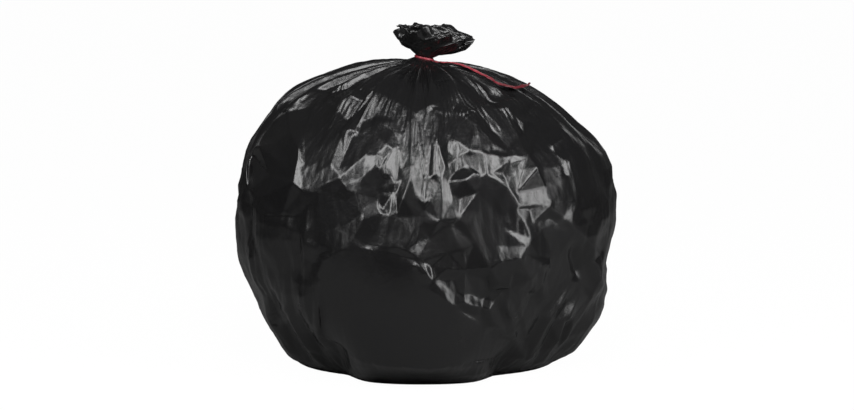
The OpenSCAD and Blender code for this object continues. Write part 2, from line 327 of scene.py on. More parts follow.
def push_apart(a, b, rest):
    """Keeps points two steps apart from folding on each other."""
    n = min(a.shape[0], b.shape[0]), min(a.shape[1], b.shape[1])
    a, b, least = a[:n[0], :n[1]], b[:n[0], :n[1]], rest[:n[0], :n[1]] * FOLD_LIMIT
    d = b - a
    length = np.sqrt(np.einsum("...k,...k->...", d, d)) + 1e-9
    d *= (np.minimum(length - least, 0) / length * 0.5)[..., None]
    a += d
    b -= d


def blur(field, across, along):
    """Averages a field over boxes, twice, across the closed columns and along the rows."""
    for _ in range(2):
        if across > 0:
            total = field.copy()
            for k in range(1, across + 1):
                total += np.roll(field, k, 1) + np.roll(field, -k, 1)
            field = total / (2 * across + 1)
        if along > 0:
            padded = np.concatenate([np.repeat(field[:1], along, 0), field, np.repeat(field[-1:], along, 0)])
            field = sum(padded[k:k + len(field)] for k in range(2 * along + 1)) / (2 * along + 1)
    return field


def normals_of(p):
    du = np.roll(p, -1, 1) - np.roll(p, 1, 1)
    dv = np.gradient(p, axis=0)
    n = np.cross(du, dv)
    return n / (np.linalg.norm(n, axis=-1)[..., None] + 1e-12)


def lengths(p):
    """Distances to the next column, to the next row and along the diagonal."""
    right = np.roll(p, -1, 1)
    u = np.linalg.norm(right - p, axis=-1)
    v = np.linalg.norm(np.diff(p, axis=0), axis=-1)
    d = np.linalg.norm(right[1:] - p[:-1], axis=-1)
    return u, v, d


def finer(field, rows, columns):
    """Resamples a field to more rows and columns."""
    r0, c0 = field.shape[:2]
    rt = np.linspace(0, r0 - 1, rows)
    ri = np.minimum(rt.astype(int), r0 - 2)
    rf = (rt - ri).reshape((-1,) + (1,) * (field.ndim - 1))
    field = field[ri] * (1 - rf) + field[ri + 1] * rf
    ct = np.arange(columns) * c0 / columns
    ci = ct.astype(int)
    cf = (ct - ci).reshape((1, -1) + (1,) * (field.ndim - 2))
    return field[:, ci] * (1 - cf) + field[:, (ci + 1) % c0] * cf


# The body of the bag


def column_angles(count):
    """Directions of the columns, closer together at the front."""
    fine = np.linspace(0, 2 * math.pi, 2881)
    weight = 1 + FRONT_DENSITY * np.cos(fine - 1.5 * math.pi)
    total = np.concatenate([[0], np.cumsum((weight[1:] + weight[:-1]) / 2)])
    return np.interp(np.arange(count) / count * total[-1], total, fine)


def cast_surface(tree, angles, tilts):
    """Points where rays from the middle meet the CAD bag. tilts is (rows, columns)."""
    points = np.zeros(tilts.shape + (3,))
    for j, angle in enumerate(angles):
        ca, sa = math.cos(angle), math.sin(angle)
        for i, tilt in enumerate(tilts[:, j]):
            ct = math.cos(tilt)
            hit = tree.ray_cast(RAY_CENTRE, Vector((ca * ct, sa * ct, math.sin(tilt))))[0]
            points[i, j] = hit
    return points


def base_surface(rows, columns):
    """The CAD bag from the edge of its base to the foot of its neck, as a grid with even rows."""
    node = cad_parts["bag"]
    tree = BVHTree.FromObject(node, bpy.context.evaluated_depsgraph_get())
    coarse_angles = column_angles(columns // 4)
    low = np.zeros(len(coarse_angles))
    for j, angle in enumerate(coarse_angles):
        start = Vector((RAY_CENTRE.x + math.cos(angle), RAY_CENTRE.y + math.sin(angle), 0.001))
        hit = tree.ray_cast(start, Vector((-math.cos(angle), -math.sin(angle), 0)))[0]
        reach = math.hypot(hit.x - RAY_CENTRE.x, hit.y - RAY_CENTRE.y)
        low[j] = math.atan2(hit.z - RAY_CENTRE.z, reach)
    high = math.atan2(NECK[2] - 0.006 - RAY_CENTRE.z, 0.0175)
    share = np.linspace(0, 1, 160)[:, None]
    tilts = low + (high - low) * share
    points = cast_surface(tree, coarse_angles, tilts)
    along = np.linalg.norm(np.diff(points, axis=0), axis=-1)
    along = np.concatenate([np.zeros((1, len(coarse_angles))), np.cumsum(along, 0)])
    along /= along[-1]
    even = np.stack(
        [np.interp(np.linspace(0, 1, rows), along[:, j], tilts[:, j]) for j in range(len(coarse_angles))], 1
    )
    even = blur(even, 2, 2)
    even = finer(even, rows, columns)
    even[0], even[-1] = finer(tilts[:1].repeat(2, 0), 2, columns)[0], high
    return cast_surface(tree, column_angles(columns), even)


# Outlines of calm film in pixels of the photograph: two hollows and the smooth dome low on the front
LEFT_HOLLOW = [(380, 186), (390, 188), (392, 195), (390, 214), (382, 214), (378, 200)]
RIGHT_HOLLOW = [(402, 180), (410, 182), (415, 195), (414, 216), (396, 216), (396, 195)]
DOME = [(318, 272), (328, 256), (342, 250), (360, 248), (382, 250), (402, 256), (416, 266), (428, 281),
        (453, 305), (480, 322), (512, 340), (500, 358), (440, 366), (375, 364), (324, 336)]
CALM_FILM = (LEFT_HOLLOW, RIGHT_HOLLOW, DOME)

# Facets of the film that the photograph shows, as outlines in its pixels. The first value says how much of
# a softbox a facet catches, from 0 to 1. Later ones lie over earlier ones.
FACETS = [
    # Front as a whole
    (0.14, [(300, 96), (380, 78), (470, 78), (540, 100), (570, 150), (575, 230), (480, 250), (410, 250),
            (318, 262), (300, 190)]),
    # Lower right as a whole
    (0.14, [(400, 244), (430, 238), (452, 224), (474, 243), (503, 228), (526, 246), (556, 222), (575, 230),
            (600, 255), (592, 300), (560, 345), (525, 358), (512, 340), (480, 322), (453, 305), (428, 281),
            (416, 266), (402, 256)]),
    # Dark film under the neck
    (0.04, [(356, 84), (380, 76), (470, 76), (492, 92), (480, 108), (452, 112), (430, 109), (405, 106),
            (378, 94), (366, 98)]),
    # Dark left shoulder
    (0.0, [(250, 150), (262, 120), (285, 105), (300, 116), (303, 190), (300, 216), (262, 216), (248, 190)]),
    (0.0, [(276, 142), (291, 133), (301, 150), (289, 160)]),
    # Upper left
    (0.8, [(336, 107), (345, 100), (352, 97), (363, 98), (374, 92), (369, 97), (352, 113), (345, 117),
           (338, 118), (335, 114)]),
    (0.03, [(339, 127), (345, 118), (352, 113), (352, 119), (347, 129), (343, 129)]),
    (0.45, [(375, 94), (381, 103), (380, 110), (373, 118), (361, 124), (354, 129)]),
    (0.05, [(356, 128), (367, 120), (376, 117), (370, 127), (364, 132), (359, 133)]),
    (0.42, [(335, 114), (328, 126), (326, 142), (324, 160), (321, 169), (319, 186), (330, 164), (340, 135),
            (347, 130), (340, 131), (338, 119)]),
    (0.8, [(340, 134), (341, 130), (348, 130), (345, 135)]),
    (0.34, [(306, 125), (311, 130), (314, 146), (317, 160), (314, 174), (310, 187), (304, 192), (303, 169),
            (302, 137)]),
    (0.6, [(289, 114), (295, 106), (304, 103), (315, 92), (318, 91), (316, 98), (306, 107), (295, 111)]),
    (0.65, [(315, 103), (320, 96), (327, 91), (321, 99)]),
    (0.2, [(352, 134), (365, 133), (352, 166), (338, 167)]),
    (0.75, [(364, 133), (367, 134), (358, 151), (356, 150)]),
    (0.75, [(368, 134), (373, 127), (376, 123), (378, 134), (371, 142), (366, 153), (365, 150),
            (368, 141)]),
    (0.38, [(367, 153), (379, 138), (382, 141), (376, 154)]),
    (0.95, [(365, 155), (377, 156), (376, 166), (362, 179), (364, 166)]),
    (0.7, [(340, 169), (344, 168), (344, 173), (347, 179), (354, 180), (356, 182), (344, 184), (340, 177)]),
    (0.25, [(344, 184), (356, 182), (361, 186), (356, 193), (348, 190)]),
    (0.9, [(379, 153), (386, 144), (388, 146), (384, 159), (380, 169), (377, 160)]),
    (0.85, [(384, 166), (393, 149), (397, 146), (396, 157), (397, 174), (391, 176), (385, 175)]),
    (0.4, [(396, 118), (400, 113), (408, 106), (402, 134), (400, 142), (393, 144), (387, 142), (394, 130)]),
    (0.9, [(397, 147), (399, 148), (403, 166), (401, 168), (398, 160)]),
    (0.55, [(402, 170), (413, 165), (412, 181), (405, 180)]),
    (0.5, [(384, 179), (397, 174), (395, 184), (392, 193), (387, 183)]),
    (0.0, LEFT_HOLLOW),
    (0.0, RIGHT_HOLLOW),
    (0.42, [(377, 190), (380, 194), (382, 208), (378, 206)]),
    (0.42, [(393, 196), (396, 194), (394, 214), (390, 215)]),
    # Centre
    (0.5, [(409, 118), (412, 120), (409, 160), (407, 158)]),
    (0.85, [(415, 115), (418, 116), (414, 165), (411, 164)]),
    (0.6, [(415, 115), (424, 109), (425, 113), (418, 119)]),
    (0.8, [(418, 118), (421, 119), (425, 173), (423, 176), (419, 140)]),
    (0.3, [(425, 113), (429, 111), (427, 138), (425, 166), (421, 122)]),
    (0.9, [(430, 112), (434, 111), (434, 117), (431, 140), (427, 175), (425, 172), (428, 134)]),
    (0.22, [(431, 141), (435, 117), (435, 140), (434, 176), (428, 176)]),
    (0.75, [(435, 112), (438, 118), (437, 140), (440, 176), (437, 177), (435, 149)]),
    (0.08, [(438, 118), (442, 116), (444, 132), (449, 143), (445, 166), (441, 180), (439, 149)]),
    (0.7, [(425, 176), (430, 177), (428, 193), (429, 201), (424, 202), (425, 189)]),
    (0.65, [(431, 178), (438, 178), (441, 184), (442, 198), (440, 221), (430, 201)]),
    (0.5, [(447, 180), (450, 184), (452, 202), (454, 220), (442, 220), (442, 200)]),
    (0.0, [(438, 222), (458, 219), (452, 225), (441, 228)]),
    (0.48, [(412, 166), (422, 166), (424, 178), (422, 194), (415, 194), (411, 181)]),
    (0.9, [(449, 141), (452, 140), (458, 143), (461, 154), (468, 165), (479, 177), (475, 174), (463, 166),
           (457, 158), (449, 148)]),
    (0.35, [(449, 149), (457, 158), (463, 166), (457, 169), (448, 166)]),
    (0.08, [(452, 113), (466, 113), (471, 152), (461, 150), (452, 134)]),
    (0.55, [(470, 134), (474, 124), (473, 140), (471, 153)]),
    (0.25, [(474, 152), (475, 145), (481, 149), (483, 154), (487, 172), (481, 174), (472, 156)]),
    (0.45, [(477, 124), (481, 131), (493, 145), (490, 153), (483, 153), (479, 134)]),
    (0.0, [(475, 109), (493, 131), (508, 149), (504, 150), (490, 141), (477, 123)]),
    (0.9, [(491, 145), (496, 147), (506, 150), (504, 151), (491, 152), (489, 153)]),
    (0.03, [(491, 153), (505, 152), (510, 157), (498, 157)]),
    (1.0, [(483, 154), (491, 155), (510, 158), (498, 166), (492, 172), (487, 173)]),
    (0.8, [(479, 177), (483, 172), (492, 171), (486, 174)]),
    (0.7, [(496, 132), (501, 127), (504, 134), (508, 148), (505, 145)]),
    (0.28, [(501, 107), (507, 108), (514, 116), (519, 134), (527, 156), (514, 175), (510, 152),
            (500, 127)]),
    (0.55, [(504, 107), (514, 117), (520, 135), (517, 133), (509, 116)]),
    (0.75, [(517, 116), (524, 121), (527, 129), (523, 125)]),
    (0.1, [(449, 171), (463, 166), (479, 176), (477, 193), (459, 219), (454, 219), (452, 193), (449, 181)]),
    (0.4, [(502, 173), (511, 161), (515, 172), (520, 206), (508, 187), (506, 177)]),
    (0.3, [(493, 172), (510, 159), (511, 166), (502, 174)]),
    # Upper right
    (0.85, [(529, 103), (536, 103), (548, 111), (558, 121), (561, 127), (562, 139), (558, 137), (553, 127),
            (546, 120), (542, 119), (537, 114), (530, 111)]),
    (0.5, [(535, 119), (538, 117), (544, 121), (547, 126), (542, 126)]),
    (0.6, [(550, 140), (554, 143), (557, 150), (552, 146)]),
    (0.42, [(556, 151), (564, 161), (569, 177), (565, 175), (562, 166)]),
    (0.42, [(530, 147), (537, 149), (546, 166), (560, 178), (560, 186), (550, 197), (546, 201), (530, 207),
            (520, 206), (517, 193), (523, 170), (527, 156)]),
    (0.05, [(526, 146), (534, 158), (547, 185), (546, 187), (535, 170)]),
    (0.38, [(517, 210), (530, 208), (546, 200), (550, 201), (548, 207), (534, 222), (530, 231), (525, 224),
            (517, 221)]),
    (0.34, [(550, 218), (563, 218), (561, 231), (543, 231)]),
    (0.25, [(603, 226), (607, 217), (612, 224), (609, 230)]),
    # Top of the shoulder
    (0.4, [(342, 64), (356, 61), (373, 60), (362, 64), (348, 67)]),
    (0.4, [(393, 66), (409, 61), (404, 66)]),
    (0.3, [(358, 76), (374, 68), (384, 65), (372, 73)]),
    (0.7, [(463, 70), (480, 75), (512, 88), (517, 92), (500, 87), (478, 79), (464, 73)]),
    (0.3, [(506, 69), (530, 79), (556, 94), (540, 90), (520, 79)]),
    # Over the edge of the smooth dome
    (0.05, [(366, 246), (398, 248), (418, 258), (426, 272), (405, 264), (385, 257)]),
    # Lower left
    (0.35, [(318, 192), (322, 192), (320, 240), (316, 266), (315, 250)]),
    (0.35, [(326, 196), (330, 196), (324, 232), (319, 244), (321, 225)]),
    (0.38, [(343, 200), (346, 200), (341, 228), (334, 253), (332, 250), (338, 225)]),
    (0.3, [(317, 266), (318, 255), (332, 253), (326, 260), (319, 266)]),
    (0.5, [(360, 210), (365, 214), (364, 219), (361, 214)]),
    (0.28, [(367, 236), (376, 233), (387, 237), (398, 242), (396, 246), (384, 241), (373, 239)]),
    (0.32, [(423, 210), (422, 223), (418, 241), (410, 252), (406, 250), (412, 234), (418, 217)]),
    (0.0, DOME),
    (0.25, [(270, 320), (280, 312), (292, 318), (284, 326)]),
    (0.2, [(238, 212), (245, 216), (246, 257), (240, 250)]),
    # Lower centre and right
    (0.2, [(416, 263), (422, 261), (431, 267), (433, 281), (420, 274)]),
    (0.28, [(420, 286), (430, 283), (445, 295), (453, 303), (450, 304), (436, 295)]),
    (0.36, [(454, 307), (464, 301), (476, 300), (481, 303), (480, 318), (479, 323), (468, 317)]),
    (0.42, [(483, 306), (490, 308), (503, 314), (510, 320), (516, 330), (516, 338), (510, 332), (503, 325),
            (492, 321), (483, 315)]),
    (0.02, [(486, 321), (498, 325), (516, 339), (510, 346), (496, 339), (487, 331)]),
    (0.05, [(486, 280), (490, 269), (501, 262), (520, 258), (541, 262), (556, 272), (566, 286), (541, 300),
            (513, 291), (491, 294)]),
    (0.4, [(511, 290), (522, 294), (540, 304), (534, 311), (524, 308)]),
    (0.0, [(507, 293), (512, 294), (525, 309), (524, 320), (518, 336), (514, 327), (509, 313)]),
    (0.27, [(530, 238), (542, 229), (554, 224), (563, 245), (565, 254), (556, 253), (554, 259), (541, 257),
            (528, 254)]),
    (0.4, [(540, 262), (545, 266), (551, 266), (545, 262)]),
    (0.42, [(572, 283), (577, 284), (553, 322), (528, 360), (515, 367), (530, 345), (548, 318)]),
    (0.34, [(580, 283), (583, 300), (566, 318), (556, 338), (541, 357), (534, 356), (553, 327),
            (566, 305)]),
    (0.0, [(577, 317), (566, 330), (553, 348), (547, 353), (556, 334), (566, 318)]),
    (0.34, [(584, 286), (601, 300), (600, 312), (572, 345), (556, 362), (548, 358), (570, 335)]),
    (0.25, [(600, 225), (612, 222), (608, 250), (598, 262), (590, 262)]),
]


# Straight folds of the lower film: two ends of the crest and the half width in pixels, and height in metres
FOLDS = [
    ((578, 280), (520, 368), 7, 0.0061),
    ((586, 292), (536, 368), 6, 0.0051),
    ((602, 300), (556, 366), 7, 0.0058),
    ((590, 240), (600, 296), 8, 0.0051),
    ((575, 240), (582, 284), 6, -0.0043),
    ((504, 296), (519, 346), 8, 0.004),
    ((545, 264), (549, 306), 6, 0.0025),
    ((549, 290), (514, 330), 8, -0.0025),
    ((454, 300), (500, 312), 8, 0.004),
    ((418, 264), (452, 304), 8, 0.002),
    ((317, 256), (321, 345), 6, 0.0051),
    ((284, 300), (322, 366), 6, 0.0051),
    ((262, 300), (300, 362), 7, 0.0058),
    ((268, 314), (294, 307), 5, 0.002),
    ((250, 240), (262, 296), 7, 0.0043),
    ((296, 220), (302, 300), 6, -0.0036),
]


def straight_folds(points, normal):
    """Heights of the straight folds, sharp along their crests and fading at their ends."""
    pixel = pixel_of(points)
    height = np.zeros(points.shape[:2])
    for start, end, wide, rise in FOLDS:
        start, end = np.array(start, float), np.array(end, float)
        length = np.linalg.norm(end - start)
        ahead = (end - start) / length
        along = (pixel - start) @ ahead / length
        aside = np.abs((pixel - start) @ np.array([-ahead[1], ahead[0]]))
        fade = np.clip(np.minimum(along, 1 - along) / 0.3, 0, 1)
        found = np.clip(1 - aside / wide, 0, 1) * fade * rise
        height += np.where(normal[..., 1] < 0.2, found, 0)
    return height


def inside(pixel, outline):
    """Whether points of the picture lie in an outline."""
    x, y = pixel[..., 0], pixel[..., 1]
    found = np.zeros(x.shape, bool)
    for (x0, y0), (x1, y1) in zip(outline, outline[1:] + outline[:1]):
        if y0 != y1:
            crosses = (y0 > y) != (y1 > y)
            found ^= crosses & (x < x0 + (y - y0) / (y1 - y0) * (x1 - x0))
    return found


def unit(v):
    return v / (np.linalg.norm(v, axis=-1, keepdims=True) + 1e-12)


def along_grid(p):
    """Unit vectors to the next column and to the next row."""
    return unit(np.roll(p, -1, 1) - np.roll(p, 1, 1)), unit(np.gradient(p, axis=0))


# How far a facet is turned sideways out of a softbox's reflection at five levels of light, in degrees.
# Up and down the softboxes are longer, and so is the turn.
LIGHT_LEVELS = [0, 0.25, 0.5, 0.8, 1]
LIGHT_TURNS = [16, 12, 8, 3.8, 1]
SOFTBOX_SHAPE = 1.7
# Steepest slope of a facet against the model's surface
STEEPEST = 0.75
# Spacing in pixels of the net's chance corners, and how near a known corner they may stand
NET_STEP = np.array([13.0, 24.0])
NET_GAP = 0.6
NET_STEPS = 22
# How firmly a corner stays on the model's surface, inside the outlines and on their border, and its most rise
NET_HOLD = 22.0
BORDER_HOLD = 600.0
NET_RISE = 0.014
# The front as a whole has this level, for which chance gives each facet one of the others
CHANCE_MARK = 0.14
CHANCE_LEVELS = [0.05, 0.15, 0.25, 0.34, 0.42]
# Depth of the fine streaks from the base to the neck
STREAK = 0.00004
# Share of the chance corners that stand on the smooth dome, and steps in which its border is evened out
DOME_DENSITY = 0.15
DOME_STEPS = 1500


def reflection_offset(points, normal, to_eye):
    """Direction of the nearest softbox's reflection, its two sides, and how far the normal is off it."""
    best = None
    for place, *_ in SOFTBOXES:
        half = unit(unit(np.array(place) - points) + to_eye)
        side = unit(np.cross([0.0, 0.0, 1.0], half))
        top = np.cross(half, side)
        toward = np.maximum(np.einsum("...k,...k->...", half, normal), 0.15)
        a = np.einsum("...k,...k->...", side, normal) / toward
        b = np.einsum("...k,...k->...", top, normal) / toward
        off = np.hypot(a, b / SOFTBOX_SHAPE) + 1e-6
        found = [half, side, top, a[..., None], b[..., None], off[..., None]]
        if best is None:
            best = found
        else:
            nearer = found[-1] < best[-1]
            best = [np.where(nearer, new, old) for new, old in zip(found, best)]
    return best


def surface_at(pixels, points, right, up, grid_pixel):
    """Points of the surface that lie behind points of the picture."""
    found = np.zeros((len(pixels), 3))
    picked = np.zeros(len(pixels), int)
    flat = points.reshape(-1, 3)
    across = (pixel_of(points + right * 0.001) - grid_pixel).reshape(-1, 2) / 0.001
    along = (pixel_of(points + up * 0.001) - grid_pixel).reshape(-1, 2) / 0.001
    right, up, seen = right.reshape(-1, 3), up.reshape(-1, 3), grid_pixel.reshape(-1, 2)
    for k, pixel in enumerate(pixels):
        n = int(((seen - pixel) ** 2).sum(1).argmin())
        gap = pixel - seen[n]
        det = across[n, 0] * along[n, 1] - across[n, 1] * along[n, 0]
        du = (gap[0] * along[n, 1] - gap[1] * along[n, 0]) / det
        dv = (across[n, 0] * gap[1] - across[n, 1] * gap[0]) / det
        du, dv = np.clip([du, dv], -0.003, 0.003)
        found[k] = flat[n] + right[n] * du + up[n] * dv
        picked[k] = n
    return found, picked


def facet_net(rng):
    """Corners and triangles of a net whose creases follow the photographed outlines."""
    corners, edges = [], []
    for _, outline in FACETS[1:]:
        first = len(corners)
        corners += outline
        count = len(outline)
        edges += [(first + k, first + (k + 1) % count) for k in range(count)]
    known = np.array(corners, float)
    for x in np.arange(236, 620, NET_STEP[0]):
        for y in np.arange(60, 376, NET_STEP[1]):
            spot = np.array([x, y]) + (rng.random(2) - 0.5) * NET_STEP * 0.9
            sparse = inside(spot, DOME) and rng.random() > DOME_DENSITY
            if not sparse and (((known - spot) / NET_STEP) ** 2).sum(1).min() > NET_GAP ** 2:
                corners.append(tuple(spot))
    net = delaunay_2d_cdt([Vector(c) for c in corners], edges, [], 0, 1.2)
    return np.array([tuple(v) for v in net[0]]), np.array([tuple(f) for f in net[2]])


def turned(normal, middle, to_eye, level):
    """The direction nearest to a facet's own that gives its level of light, and how much it matters."""
    half, side, top, a, b, off = reflection_offset(middle, normal, to_eye)
    want = np.tan(np.radians(np.interp(level, LIGHT_LEVELS, LIGHT_TURNS)))[..., None]
    dark = (level < 0.2)[..., None]
    free = dark & (off >= want)
    scale = np.where(free, 1, want / off)
    target = unit(half + side * a * scale + top * b * scale)
    return target, np.where(free[..., 0], 0.08, 1.0)


def front_calm(points, normal):
    """How calm the film is, from 0 to 1, and where the smooth dome is."""
    calm = np.zeros(points.shape[:2])
    dome = np.zeros(points.shape[:2])
    pixel = pixel_of(points)
    for _, outline in FACETS:
        held = inside(pixel, outline) & (normal[..., 1] < 0)
        calm[held] = 0.9 if outline in CALM_FILM else 0
        dome[held] = outline is DOME
    return blur(calm, 2, 2), blur(dome, 4, 3)


def even_dome(points, dome):
    """The smooth dome as a cubic surface that is drawn to its surroundings all round."""
    rows, columns = np.nonzero(dome > 0.02)
    middle = np.array([rows.mean(), columns.mean()])
    spread = np.array([rows.std(), columns.std()])

    def powers(i, j):
        y, x = (i - middle[0]) / spread[0], (j - middle[1]) / spread[1]
        return np.stack([x ** m * y ** n for m in range(4) for n in range(4 - m)], -1)

    fit = np.linalg.lstsq(powers(rows, columns), points[rows, columns], rcond=None)[0]
    part = (slice(max(rows.min() - 1, 0), rows.max() + 2), slice(columns.min() - 1, columns.max() + 2))
    i, j = np.mgrid[part]
    even = powers(i, j) @ fit
    gap = points[part] - even
    inner = (dome[part] > 0.5)[..., None]
    inner[[0, -1]] = False
    gap = np.where(inner, 0, gap)
    for _ in range(DOME_STEPS):
        around = np.roll(gap, 1, 0) + np.roll(gap, -1, 0) + np.roll(gap, 1, 1) + np.roll(gap, -1, 1)
        gap = np.where(inner, around / 4, gap)
    found = points.copy()
    found[part] = even + gap
    return found


def flat_facets(rng, smooth, normal, right, up, relief):
    """The front of the film as flat facets that each give their light, and how far they hold."""
    grid_pixel = pixel_of(smooth)
    eye = TARGET - np.array([0, math.cos(ELEVATION), -math.sin(ELEVATION)]) * DISTANCE
    to_eye = unit(eye - smooth)
    facing = np.einsum("...k,...k->...", to_eye, normal)
    front = facing > 0.12
    grid_pixel = np.where(front[..., None], grid_pixel, -999.0)
    corners, net = facet_net(rng)
    base, picked = surface_at(corners, smooth, right, up, grid_pixel)
    out = normal.reshape(-1, 3)[picked]
    start = relief.reshape(-1)[picked]

    # Facets of the net, with the level of the outline that each lies in
    middle_pixel = corners[net].mean(1)
    level = np.full(len(net), -1.0)
    for light, outline in FACETS:
        level[inside(middle_pixel, outline)] = light
    chance = rng.choice(CHANCE_LEVELS, len(net))
    level = np.where(level == CHANCE_MARK, chance, level)
    p0, p1, p2 = (base[net[:, k]] for k in range(3))
    cross = np.cross(p1 - p0, p2 - p0)
    area = np.linalg.norm(cross, axis=1) / 2
    plain = unit(cross)
    flip = np.einsum("nk,nk->n", plain, out[net[:, 0]]) < 0
    plain[flip] *= -1
    sense = np.where(flip, -1.0, 1.0)
    good = area > 1e-7
    # Change of slope for a unit of height at each corner
    scale = (sense / (2 * np.maximum(area, 1e-7)))[:, None]
    pull_on = [np.cross(plain, edge) * scale for edge in (p2 - p1, p0 - p2, p1 - p0)]
    count = len(base)
    middle = (p0 + p1 + p2) / 3
    eyes = unit(eye - middle)
    height = start + rng.normal(0, 0.0012, count)
    hold = np.full(count, NET_HOLD)
    hold[net[level < 0].ravel()] = BORDER_HOLD
    for _ in range(NET_STEPS):
        slope = sum(pull_on[k] * height[net[:, k], None] for k in range(3))
        now = unit(plain - slope)
        target, weight = turned(now, middle, eyes, level)
        toward = np.maximum(np.einsum("nk,nk->n", target, plain), 0.3)
        goal = plain - target / toward[:, None]
        steep = np.linalg.norm(goal, axis=1, keepdims=True)
        goal = goal * np.minimum(1, STEEPEST / (steep + 1e-9))
        weight = np.where(level < 0, 0.25, weight) * good * np.sqrt(area / area.mean())
        force = weight ** 2
        matrix = np.diag(hold ** 2)
        aim = start * hold ** 2
        for k in range(3):
            np.add.at(aim, net[:, k], np.einsum("nk,nk->n", pull_on[k], goal) * force)
            for m in range(3):
                both = np.einsum("nk,nk->n", pull_on[k], pull_on[m]) * force
                np.add.at(matrix, (net[:, k], net[:, m]), both)
        height = np.linalg.solve(matrix, aim)
    height = start + np.tanh((height - start) / NET_RISE) * NET_RISE
    spots = base + out * height[:, None]

    # Points of the grid lie on the flat facets
    flat = smooth.copy().reshape(-1, 3)
    seen = grid_pixel.reshape(-1, 2)
    share = np.zeros(len(flat))
    for k in range(len(net)):
        a, b, c = corners[net[k]]
        low = np.minimum(np.minimum(a, b), c)
        high = np.maximum(np.maximum(a, b), c)
        near = np.flatnonzero(((seen >= low) & (seen <= high)).all(1))
        det = (b[0] - a[0]) * (c[1] - a[1]) - (c[0] - a[0]) * (b[1] - a[1])
        if len(near) == 0 or abs(det) < 1e-9:
            continue
        x, y = (seen[near] - a).T
        s1 = (x * (c[1] - a[1]) - (c[0] - a[0]) * y) / det
        s2 = ((b[0] - a[0]) * y - x * (b[1] - a[1])) / det
        held = (s1 >= -1e-6) & (s2 >= -1e-6) & (s1 + s2 <= 1 + 1e-6)
        near, s1, s2 = near[held], s1[held, None], s2[held, None]
        v0, v1, v2 = spots[net[k]]
        flat[near] = v0 + (v1 - v0) * s1 + (v2 - v0) * s2
        share[near] = level[k] >= 0
    share = share.reshape(facing.shape) * np.clip((facing - 0.12) / 0.2, 0, 1)
    return flat.reshape(smooth.shape), share


def cell_slopes(rng, around, along, cells_round, cells_along, size):
    """Slopes of small chance facets, one for each cell of an uneven lattice."""
    column = around * cells_round
    row = along * cells_along
    jitter = rng.random((cells_along + 3, cells_round, 2))
    slope = rng.normal(0, size, (cells_along + 3, cells_round, 2))
    i0, j0 = np.floor(row).astype(int) + 1, np.floor(column).astype(int)
    nearest = np.full(column.shape, 9.0)
    found = np.zeros(column.shape + (2,))
    for di in (-1, 0, 1):
        for dj in (-1, 0, 1):
            i, j = i0 + di, (j0 + dj) % cells_round
            seed = jitter[i, j]
            gap = (np.floor(column) + dj + seed[..., 0] - column) ** 2 + (i - 1 + seed[..., 1] - row) ** 2
            closer = gap < nearest
            nearest = np.where(closer, gap, nearest)
            found[closer] = slope[i, j][closer]
    return found[..., 0], found[..., 1]


def height_from_slopes(slope_u, slope_v, step_u, step_v):
    """Heights with slopes nearest to the wanted ones, held loosely to zero, by conjugate gradients."""
    edge_u = (slope_u + np.roll(slope_u, -1, 1)) / 2
    edge_v = (slope_v[1:] + slope_v[:-1]) / 2
    step = float(step_u.mean())
    wu, wv = step / step_u, step / step_v

    def gathered(u, v):
        u = u * wu
        v = v * wv
        total = np.roll(u, 1, 1) - u
        total[1:] += v
        total[:-1] -= v
        return total

    def applied(h):
        return gathered((np.roll(h, -1, 1) - h) * wu, (h[1:] - h[:-1]) * wv) + SOLVER_HOLD * h

    rest = gathered(edge_u * step, edge_v * step)
    h = np.zeros_like(rest)
    turn = rest.copy()
    size = (rest * rest).sum()
    for _ in range(SOLVER_STEPS):
        image = applied(turn)
        share = size / (turn * image).sum()
        h += share * turn
        rest -= share * image
        after = (rest * rest).sum()
        turn = rest + after / size * turn
        size = after
    return h


